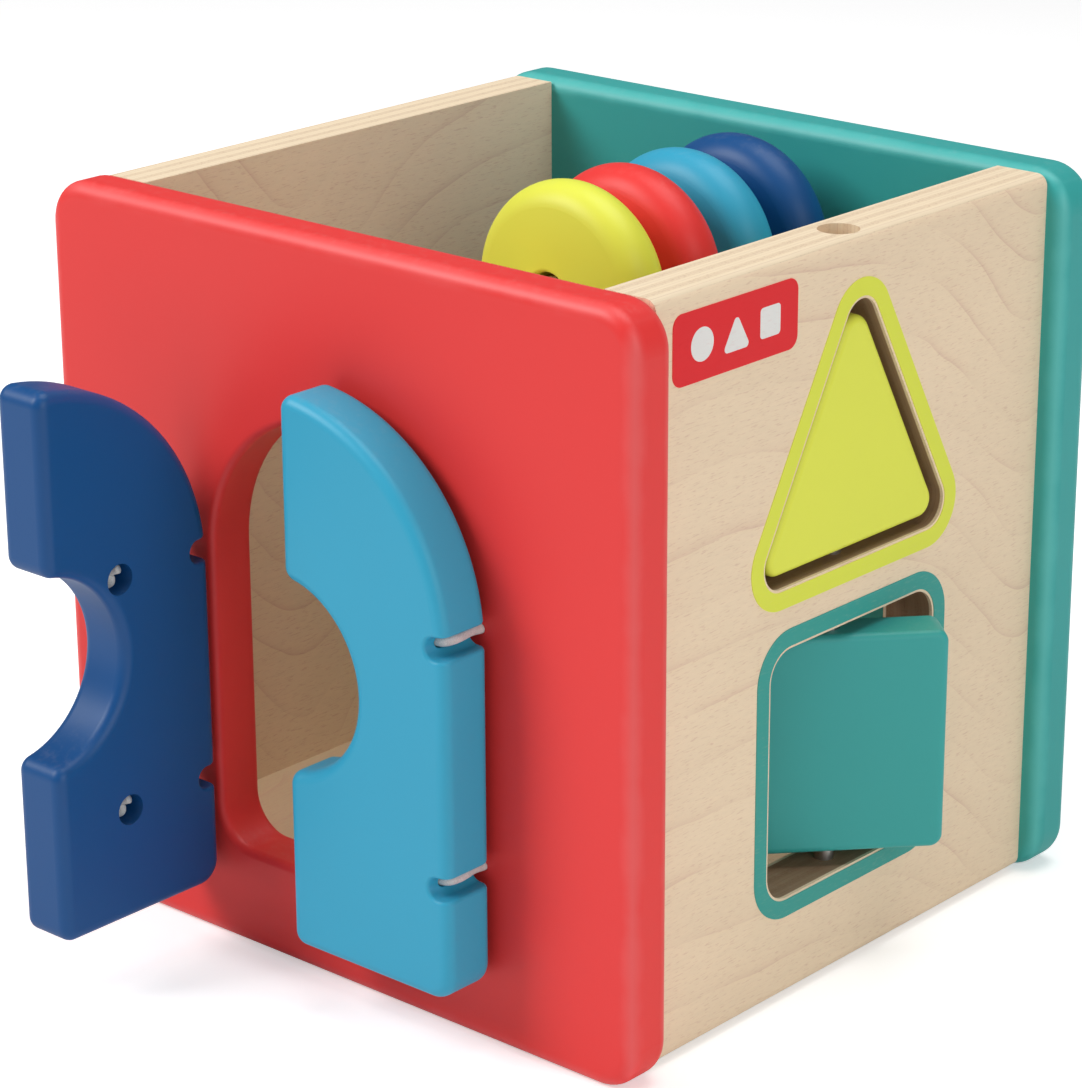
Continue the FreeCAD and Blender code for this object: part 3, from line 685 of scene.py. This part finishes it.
@dataclass(frozen=True)
class Ink:
    """Screen-printed ink that lets a little of the wood grain through."""

    name: str
    colour: Colour
    thin_colour: Colour
    roughness: float = 0.5

    def material(self) -> bpy.types.Material:
        """Makes the material.

        Returns:
            The material.
        """
        material, graph, shader = new_material(self.name)
        place, *axes = graph.place()
        grain = graph.scaled(axes, (1000.0, 550.0, 2900.0))
        thin = graph.span(graph.noise(grain, 1.0, 2.0, 0.6), 0.52, 0.78)
        cover = graph.noise(place, 60.0, 2.0)
        share = graph.math("MULTIPLY", thin, graph.math("MULTIPLY", cover, 0.15))
        graph.feed(shader.inputs["Base Color"], graph.mix(share, self.colour, self.thin_colour))
        rough = graph.math("MULTIPLY_ADD", thin, 0.10, self.roughness)
        graph.feed(shader.inputs["Roughness"], rough)
        add_bump(graph, shader, thin, 0.25, 0.03 * MM)
        return material


@dataclass(frozen=True)
class Steel:
    """Bright drawn steel rod."""

    name: str = "drawn_steel"
    colour: Colour = (0.60, 0.60, 0.61, 1.0)

    def material(self) -> bpy.types.Material:
        """Makes the material.

        Returns:
            The material.
        """
        material, graph, shader = new_material(self.name)
        lines = graph.scaled(graph.place()[1:], (6000.0, 6000.0, 90.0))
        drawn = graph.noise(lines, 1.0, 2.0)
        tint = graph.mix(drawn, self.colour, (0.46, 0.45, 0.44, 1.0))
        graph.feed(shader.inputs["Base Color"], tint)
        shader.inputs["Metallic"].default_value = 1.0
        graph.feed(shader.inputs["Roughness"], graph.math("MULTIPLY_ADD", drawn, 0.22, 0.20))
        add_bump(graph, shader, drawn, 0.2, 0.02 * MM)
        return material


@dataclass(frozen=True)
class Elastic:
    """Braided elastic cord: matt yarn, a little greyer in fine random patches."""

    name: str = "elastic_yarn"
    colour: Colour = linear(226, 223, 220)
    grey_patch: Colour = linear(164, 160, 160)

    def material(self) -> bpy.types.Material:
        """Makes the material.

        Returns:
            The material.
        """
        material, graph, shader = new_material(self.name)
        place = graph.place()[0]
        fibre = graph.noise(place, 5200.0, 3.0, 0.7)
        patch = graph.noise(place, 420.0, 2.0)
        share = graph.span(graph.math("ADD", graph.math("MULTIPLY", fibre, 0.7),
                                      graph.math("MULTIPLY", patch, 0.3)), 0.38, 0.64, 1.0, 0.0)
        share = graph.math("MULTIPLY", share, 0.55)
        graph.feed(shader.inputs["Base Color"], graph.mix(share, self.colour, self.grey_patch))
        graph.feed(shader.inputs["Roughness"], graph.math("MULTIPLY_ADD", fibre, 0.15, 0.75))
        shader.inputs["Sheen Weight"].default_value = 0.3
        shader.inputs["Sheen Roughness"].default_value = 0.5
        add_bump(graph, shader, fibre, 0.5, 0.08 * MM)
        return material


# Each paint's second colour is its painted edge highlight, a lighter tint of the paint.
RED = Paint("red_satin", linear(240, 60, 58), linear(248, 126, 126))
TEAL = Paint("teal_satin", linear(58, 170, 166), linear(122, 220, 214))
LIME = Paint("lime_satin", linear(236, 241, 82), linear(240, 244, 124))
SKY = Paint("sky_satin", linear(54, 168, 203), linear(92, 190, 220))
NAVY = Paint("navy_satin", linear(14, 78, 138), linear(40, 108, 164))
WOOD_SHOW = linear(246, 222, 190)


def dress(node: str, material: bpy.types.Material) -> None:
    """Gives one of the frame's nodes its material.

    Args:
        node: The node's name.
        material: Its new material.
    """
    shape = frame["nodes"][node]
    shape.data.materials.clear()
    shape.data.materials.append(material)
    LOG.info("dressed %s in %s", node, material.name)


# ------------------------------------------------------------------ mesh helpers
def finish_mesh(mesh: bmesh.types.BMesh, name: str) -> bpy.types.Mesh:
    """Turns a worked mesh into a named one and frees it.

    Args:
        mesh: The worked mesh.
        name: The new mesh's name.

    Returns:
        The new mesh.
    """
    data = bpy.data.meshes.new(name)
    mesh.to_mesh(data)
    mesh.free()
    return data


def link(name: str, mesh: bpy.types.Mesh, material: bpy.types.Material) -> bpy.types.Object:
    """Puts a mesh in the scene as a smooth-shaded piece.

    Args:
        name: The piece's name.
        mesh: Its mesh, in the frame's coordinates.
        material: Its material.

    Returns:
        The new object.
    """
    for polygon in mesh.polygons:
        polygon.use_smooth = True
    mesh.materials.append(material)
    piece = bpy.data.objects.new(name, mesh)
    bpy.context.scene.collection.objects.link(piece)
    LOG.info("built %s with %d faces", name, len(mesh.polygons))
    return piece


def smooth_route(points: Sequence[Vector], closed: bool = False, steps: int = 14) -> list[Vector]:
    """Reads the points of a smooth NURBS line.

    Args:
        points: Its control points, in order.
        closed: True for a ring.
        steps: Points per span.

    Returns:
        Points along the line, in order.
    """
    curve = bpy.data.curves.new("route", "CURVE")
    curve.dimensions = "3D"
    spline = curve.splines.new("NURBS")
    spline.points.add(len(points) - 1)
    for target, point in zip(spline.points, points):
        target.co = (*point, 1.0)
    spline.order_u = 3
    spline.use_endpoint_u = not closed
    spline.use_cyclic_u = closed
    spline.resolution_u = steps
    holder = bpy.data.objects.new("route", curve)
    line = bpy.data.meshes.new_from_object(holder)
    found = [vertex.co.copy() for vertex in line.vertices]
    bpy.data.objects.remove(holder)
    bpy.data.curves.remove(curve)
    bpy.data.meshes.remove(line)
    return found


def tube(mesh: bmesh.types.BMesh, line: Sequence[Vector], radius: float, sides: int,
         relief: Callable[[float, float], float], closed: bool = False) -> None:
    """Adds a tube round a line, with relief in its skin.

    Args:
        mesh: Where its faces go.
        line: Points along its middle.
        radius: Its radius.
        sides: Points round it.
        relief: Height above the radius from the length so far and the angle.
        closed: True for a ring.
    """
    count = len(line)
    across = Vector((0, 0, 1))
    rings, run = [], 0.0
    for i, point in enumerate(line):
        before = line[i - 1] if i or closed else point
        after = line[(i + 1) % count] if i + 1 < count or closed else point
        ahead = (after - before).normalized()
        across = (across - ahead * across.dot(ahead)).normalized()
        third = ahead.cross(across)
        if i:
            run += (point - line[i - 1]).length
        ring = []
        for k in range(sides):
            angle = 2 * math.pi * k / sides
            reach = radius + relief(run, angle)
            way = across * math.cos(angle) + third * math.sin(angle)
            ring.append(mesh.verts.new(point + way * reach))
        rings.append(ring)
    pairs = list(zip(rings, rings[1:])) + ([(rings[-1], rings[0])] if closed else [])
    for first, second in pairs:
        for k in range(sides):
            nxt = (k + 1) % sides
            mesh.faces.new((first[k], first[nxt], second[nxt], second[k]))
    if not closed:
        mesh.faces.new(list(reversed(rings[0])))
        mesh.faces.new(rings[-1])


def even_line(line: Sequence[Vector], step: float) -> list[Vector]:
    """Spaces points evenly along a line.

    Args:
        line: The line's points.
        step: The spacing.

    Returns:
        The new points, with both ends kept.
    """
    lengths = [0.0]
    for first, second in zip(line, line[1:]):
        lengths.append(lengths[-1] + (second - first).length)
    count = max(2, round(lengths[-1] / step) + 1)
    found, at = [], 0
    for i in range(count):
        goal = lengths[-1] * i / (count - 1)
        while at < len(line) - 2 and lengths[at + 1] < goal:
            at += 1
        span = max(lengths[at + 1] - lengths[at], 1e-9)
        found.append(line[at].lerp(line[at + 1], min(1.0, (goal - lengths[at]) / span)))
    return found


# ------------------------------------------------------------------ hinge cords
class Side(Enum):
    """The two sides of the doorway, as the sign of x."""

    LEFT = -1
    RIGHT = 1

    @property
    def word(self) -> str:
        """The side's name as nodes use it."""
        return self.name.lower()


class Level(Enum):
    """The two cords of a door."""

    UPPER = "upper"
    LOWER = "lower"


@dataclass
class HingeCord:
    """One elastic cord from its knot in the door, through the slot, to its knot in the panel.

    Routes are in millimetres from the hinge line, x away from the middle of the doorway and y
    towards the back, with the door closed for the door's part.
    """

    side: Side
    level: Level
    finish: bpy.types.Material
    radius: float = 1.05 * MM
    braid_depth: float = 0.09 * MM
    braid_pitch: float = 2.9 * MM
    strands: int = 6
    sides: int = 36
    step: float = 0.22 * MM
    knot_reach: float = 0.60 * MM
    knot_shape: tuple[float, float, float] = (0.86, 1.06, 1.35)
    knot_radius: float = 0.88 * MM
    knot_points: int = 18
    knot_steps: int = 8
    knot_sides: int = 20
    tail_radius: float = 0.86 * MM
    tail_points: int = 4
    tail_start: float = 0.5
    tail_stride: tuple[float, float, float] = (0.9, 0.35, 0.3)
    in_panel: tuple[tuple[float, float], ...] = ((1.9, 14.3), (1.9, 12.3), (1.9, 8.9), (1.9, 7.5))
    in_door: tuple[tuple[float, float], ...] = (
        (-0.4, -2.1), (-8.0, -2.1), (-13.8, -2.1), (-17.2, -2.1), (-17.9, -1.7), (-17.9, 1.2))
    span: dict[Side, tuple[tuple[float, float], ...]] = field(default_factory=lambda: {
        Side.RIGHT: ((2.0, 5.0), (2.8, 1.0), (2.5, -2.1)), Side.LEFT: ((1.9, 4.6), (2.0, 2.2))})
    mouth: tuple[float, float] = (1.9, 7.5)
    slot_end: tuple[float, float] = (0.3, -2.1)
    door_knot: tuple[float, float] = (-17.9, 2.2)
    panel_knot: tuple[float, float] = (1.9, 14.7)
    lift: float = 0.4 * MM

    def __post_init__(self) -> None:
        """Reads the hinge line and the cord's height from the frame."""
        joint = next(j for j in frame["joints"] if j["name"] == self.side.word + "_door_swing")
        self.hinge = Vector((joint["pos_m"][0], joint["pos_m"][1], 0.0))
        low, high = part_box("%s_%s_cord_panel_end" % (self.side.word, self.level.value))
        self.height = (low.z + high.z) / 2
        self.turn = -math.pi / 2 if self.side is Side.LEFT else 0.0

    @property
    def name(self) -> str:
        """The start of the names of this cord's pieces."""
        return "%s_%s" % (self.side.word, self.level.value)

    def panel_point(self, x: float, y: float) -> Vector:
        """A point that stays with the panel."""
        return self.hinge + Vector((self.side.value * x * MM, y * MM, self.height))

    def door_point(self, x: float, y: float) -> Vector:
        """A point that turns with the door, where the door is at rest."""
        local = Vector((self.side.value * x * MM, y * MM, self.height))
        return self.hinge + Matrix.Rotation(self.turn, 3, "Z") @ local

    def braid(self, run: float, angle: float) -> float:
        """Relief of crossing strands.

        Args:
            run: Length along the cord.
            angle: Angle round it.

        Returns:
            Height relative to the cord's radius, zero at most.
        """
        twist = 2 * math.pi * run / self.braid_pitch
        over = math.cos(self.strands / 2 * (angle + twist))
        under = math.cos(self.strands / 2 * (angle - twist))
        return -self.braid_depth * (1 - max(abs(over), abs(under)))

    def build_cord(self) -> None:
        """Builds the cord along its route from the panel, across the hinge, into the door, and
        hides the frame's plain cord solids.
        """
        raised = Vector((0.0, 0.0, self.lift))
        route = [self.panel_point(*point) for point in self.in_panel]
        route += [self.panel_point(*point) + raised for point in self.span[self.side]]
        route += [self.door_point(*point) for point in self.in_door]
        line = even_line(smooth_route(route), self.step)
        mesh = bmesh.new()
        tube(mesh, line, self.radius, self.sides, self.braid)
        cord = link(self.name + "_cord", finish_mesh(mesh, self.name + "_cord"), self.finish)
        body = self.side.word + "_door"
        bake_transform(cord)
        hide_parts(self.name + "_cord_door_end", self.name + "_cord_panel_end")
        length = sum((b - a).length for a, b in zip(line, line[1:]))
        LOG.info("%s cord is %.1f mm from knot to knot", self.name, length / MM)

    def build_knot(self, name: str, middle: Vector, outward: Vector, body: str) -> None:
        """Builds an overhand knot with a short cut end.

        Args:
            name: The piece's name.
            middle: The knot's middle.
            outward: The way that its cut end points.
            body: The body that it rides on.
        """
        upright = Vector((0, 0, 1))
        sideways = upright.cross(outward)
        wide, tall, deep = self.knot_shape
        ring = []
        for i in range(self.knot_points):
            t = 2 * math.pi * i / self.knot_points
            a = (math.sin(t) + 2 * math.sin(2 * t)) * self.knot_reach * wide
            b = (math.cos(t) - 2 * math.cos(2 * t)) * self.knot_reach * tall
            c = -math.sin(3 * t) * self.knot_reach * deep
            ring.append(middle + sideways * a + upright * b + outward * c)
        loop = smooth_route(ring, closed=True, steps=self.knot_steps)
        mesh = bmesh.new()
        tube(mesh, loop, self.knot_radius, self.knot_sides, self.braid, closed=True)
        ahead, rise, aside = self.tail_stride
        tail = [middle + outward * (k * ahead * MM) + upright * ((self.tail_start + rise * k) * MM)
                + sideways * (aside * k * MM) for k in range(self.tail_points)]
        tail_line = even_line(smooth_route(tail), self.step)
        tube(mesh, tail_line, self.tail_radius, self.knot_sides, self.braid)
        knot = link(name, finish_mesh(mesh, name), self.finish)
        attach(knot, body)

    def build(self) -> None:
        """Builds the cord and both its knots."""
        self.build_cord()
        out = Matrix.Rotation(self.turn, 3, "Z") @ Vector((0, 1, 0))
        self.build_knot(self.name + "_door_knot", self.door_point(*self.door_knot), out,
                        self.side.word + "_door")
        self.build_knot(self.name + "_panel_knot", self.panel_point(*self.panel_knot),
                        Vector((0, 1, 0)), "box")


# ------------------------------------------------------------------ label print
@dataclass
class LabelShapes:
    """Three plain shapes printed in white on the red bar of the right wall."""

    size: float = 6.4 * MM
    gap: float = 3.4 * MM
    rise: float = 0.05 * MM
    corner_points: int = 8
    corner_radius: float = 0.8 * MM
    circle_points: int = 48
    triangle_reach: float = 1.24
    triangle_drop: float = 0.16
    square_reach: float = 1.30

    def outline(self, corners: int, radius: float, turn: float) -> list[tuple[float, float]]:
        """A polygon with rounded corners about the origin.

        Args:
            corners: How many corners, or 0 for a circle.
            radius: From the middle to a sharp corner.
            turn: Angle of the first corner.

        Returns:
            Its outline points.
        """
        if not corners:
            angles = [math.tau * k / self.circle_points for k in range(self.circle_points)]
            return [(radius * math.cos(angle), radius * math.sin(angle)) for angle in angles]
        inner = radius - self.corner_radius / math.cos(math.pi / 2 - math.pi / corners)
        points = []
        for corner in range(corners):
            facing = turn + math.tau * corner / corners
            x, y = inner * math.cos(facing), inner * math.sin(facing)
            spread = math.pi / corners
            for k in range(self.corner_points + 1):
                angle = facing - spread + 2 * spread * k / self.corner_points
                points.append((x + self.corner_radius * math.cos(angle),
                               y + self.corner_radius * math.sin(angle)))
        return points

    def build(self) -> None:
        """Builds the print on the bar."""
        low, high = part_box("wall_label")
        middle = (low + high) / 2
        half = self.size / 2
        kinds = [(0, half, 0.0, 0.0),
                 (3, half * self.triangle_reach, math.pi / 2, -self.triangle_drop * self.size),
                 (4, half * self.square_reach, math.pi / 4, 0.0)]
        mesh = bmesh.new()
        for number, (corners, radius, turn, drop) in enumerate(kinds):
            y = middle.y + (number - 1) * (self.size + self.gap)
            outline = self.outline(corners, radius, turn)
            top, base = ([mesh.verts.new((x, y + a, middle.z + drop + b)) for a, b in outline]
                         for x in (high.x + self.rise, high.x))
            mesh.faces.new(top)
            mesh.faces.new(list(reversed(base)))
            count = len(outline)
            for k in range(count):
                nxt = (k + 1) % count
                mesh.faces.new((base[k], base[nxt], top[nxt], top[k]))
        data = finish_mesh(mesh, "label_shapes")
        ink = Ink("white_ink", linear(240, 238, 234), linear(214, 60, 60)).material()
        piece = link("label_shapes", data, ink)
        for polygon in data.polygons:
            polygon.use_smooth = False
        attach(piece, "box")


# ------------------------------------------------------------------ sub-assemblies
@dataclass
class PaintedBoards:
    """The front and back panels."""

    red: Paint = RED
    teal: Paint = TEAL

    def dress(self) -> None:
        """Paints both panels."""
        dress("front_panel", self.red.material("front_panel", boxy=True))
        dress("back_panel", self.teal.material("back_panel", boxy=True))


@dataclass
class PlywoodBox:
    """The plywood walls and floor, and the joinery and rods in them."""

    right: Plywood = Plywood("right_ply", Board.UPRIGHT, 3.1, 58.0, 158.0)
    left: Plywood = Plywood("left_ply", Board.UPRIGHT, 11.7, -20.0, 210.0)
    floor: Plywood = Plywood("floor_ply", Board.FLAT, 23.9, 10.0, -120.0,
                             colour=linear(222, 196, 160), edge_colour=linear(224, 200, 164))
    rod: Beech = Beech("rod_beech", (900.0, 70.0, 900.0))
    plug: Beech = Beech("plug_beech", (700.0, 700.0, 120.0), linear(222, 196, 160))
    pin: Beech = Beech("pin_beech", (700.0, 90.0, 700.0), linear(216, 186, 148))
    steel: Steel = Steel()

    def dress(self) -> None:
        """Finishes the boards, rods, plug and pins."""
        dress("right_wall", self.right.material("right_wall"))
        dress("left_wall", self.left.material("left_wall"))
        dress("floor_board", self.floor.material("floor_board"))
        dress("disc_rod", self.rod.material())
        dress("axle_plug", self.plug.material())
        pins = self.pin.material()
        for node in ("front_dowels", "back_dowels", "floor_dowels"):
            dress(node, pins)
        dress("spinner_axle", self.steel.material())


@dataclass
class WallPrint:
    """The rings round both holes and the bar near the top."""

    lime: Ink = Ink("lime_ink", linear(230, 237, 72), WOOD_SHOW)
    teal: Ink = Ink("teal_ink", linear(48, 160, 150), WOOD_SHOW)
    red: Ink = Ink("red_ink", linear(234, 14, 26), linear(210, 60, 60))

    def dress(self) -> None:
        """Inks the rings and the bar."""
        dress("triangle_ring_print", self.lime.material())
        dress("square_ring_print", self.teal.material())
        dress("wall_label", self.red.material())


@dataclass
class Spinners:
    """The blocks that turn in the right wall, and the discs on the rod."""

    blocks: dict[str, Paint] = field(default_factory=lambda: {
        "triangle_block": LIME, "square_block": TEAL})
    discs: dict[str, Paint] = field(default_factory=lambda: {
        "lime_disc": LIME, "red_disc": RED, "light_blue_disc": SKY, "dark_blue_disc": NAVY})

    def dress(self) -> None:
        """Paints blocks and discs."""
        for node, paint in (self.blocks | self.discs).items():
            dress(node, paint.material(node, boxy=False))


@dataclass
class Doors:
    """Both doors and the cords that hinge them."""

    paints: dict[Side, Paint] = field(default_factory=lambda: {Side.LEFT: NAVY, Side.RIGHT: SKY})
    elastic: Elastic = Elastic()

    def dress(self) -> None:
        """Paints the doors and builds their cords."""
        yarn = self.elastic.material()
        for side, paint in self.paints.items():
            node = side.word + "_door"
            dress(node, paint.material(node, boxy=False))
            for level in Level:
                HingeCord(side, level, yarn).build()


# ------------------------------------------------------------------ studio
@dataclass
class Studio:
    """Pale floor, soft lights and the camera."""

    place: Vector = field(default_factory=lambda: Vector((0.46524, -0.53418, 0.32503)))
    azimuth: float = 41.143
    elevation: float = 20.126
    roll: float = -0.13
    lens: float = 120.86
    shift: tuple[float, float] = (-0.0269, 0.0329)
    sensor: float = 36.0
    aim: Vector = field(default_factory=lambda: Vector((0.0, 0.0, 0.07)))
    floor_glow: float = 0.45
    sky_strength: float = 0.14

    def build_camera(self) -> None:
        """Places the camera."""
        a, e = math.radians(self.azimuth), math.radians(self.elevation)
        back = Vector((math.sin(a) * math.cos(e), -math.cos(a) * math.cos(e), math.sin(e)))
        right = Vector((math.cos(a), math.sin(a), 0.0))
        up = back.cross(right)
        r = math.radians(self.roll)
        tilted = right * math.cos(r) + up * math.sin(r)
        upward = up * math.cos(r) - right * math.sin(r)
        data = bpy.data.cameras.new("camera")
        data.sensor_width = self.sensor
        data.lens = self.lens
        data.shift_x, data.shift_y = self.shift
        data.clip_start = 0.01
        camera = bpy.data.objects.new("camera", data)
        axes = Matrix((tilted, upward, back)).transposed().to_4x4()
        camera.matrix_world = Matrix.Translation(self.place) @ axes
        bpy.context.scene.collection.objects.link(camera)
        bpy.context.scene.camera = camera

    def add_light(self, name: str, place: tuple[float, float, float], size: float,
                  power: float) -> None:
        """Adds a square soft light that faces the cube.

        Args:
            name: Its name.
            place: Where it stands.
            size: Its side.
            power: Its power in watts.
        """
        data = bpy.data.lights.new(name, "AREA")
        data.shape = "SQUARE"
        data.size = size
        data.energy = power
        light = bpy.data.objects.new(name, data)
        light.location = place
        way = self.aim - Vector(place)
        light.rotation_mode = "QUATERNION"
        light.rotation_quaternion = way.to_track_quat("-Z", "Y")
        bpy.context.scene.collection.objects.link(light)

    def build_floor(self) -> None:
        """Lays a wide pale floor."""
        mesh = bmesh.new()
        bmesh.ops.create_grid(mesh, x_segments=8, y_segments=8, size=4.0)
        data = finish_mesh(mesh, "floor")
        material, graph, shader = new_material("pale_floor")
        cloud = graph.noise(graph.place()[0], 3.0, 2.0)
        tint = graph.mix(cloud, linear(250, 250, 250), linear(246, 246, 246))
        graph.feed(shader.inputs["Base Color"], tint)
        shader.inputs["Roughness"].default_value = 0.9
        shader.inputs["Specular IOR Level"].default_value = 0.1
        shader.inputs["Emission Color"].default_value = (1.0, 1.0, 1.0, 1.0)
        seen = graph.node("LightPath").outputs["Is Camera Ray"]
        glow = graph.math("MULTIPLY", seen, self.floor_glow)
        graph.feed(shader.inputs["Emission Strength"], glow)
        floor = bpy.data.objects.new("floor", data)
        data.materials.append(material)
        bpy.context.scene.collection.objects.link(floor)

    def build_sky(self) -> None:
        """Adds a low, even white light from all round."""
        world = bpy.data.worlds.new("studio")
        world.use_nodes = True
        back = world.node_tree.nodes["Background"]
        back.inputs["Color"].default_value = (1.0, 1.0, 1.0, 1.0)
        back.inputs["Strength"].default_value = self.sky_strength
        bpy.context.scene.world = world

    def build(self) -> None:
        """Builds the whole studio."""
        self.build_camera()
        self.build_floor()
        self.build_sky()
        self.add_light("key", (-0.75, -0.95, 1.05), size=0.7, power=14.7)
        self.add_light("fill", (1.3, -0.35, 0.55), size=0.9, power=6.0)
        self.add_light("top", (0.15, 0.2, 1.4), size=0.9, power=9.5)
        view = bpy.context.scene.view_settings
        view.view_transform = "Standard"
        view.look = "None"


def main() -> None:
    """Builds and dresses every piece, in order."""
    logging.basicConfig(level=logging.INFO, format="%(name)s: %(message)s")
    Studio().build()
    Doors().dress()
    PaintedBoards().dress()
    PlywoodBox().dress()
    WallPrint().dress()
    LabelShapes().build()
    Spinners().dress()


if __name__ == "__main__":
    main()
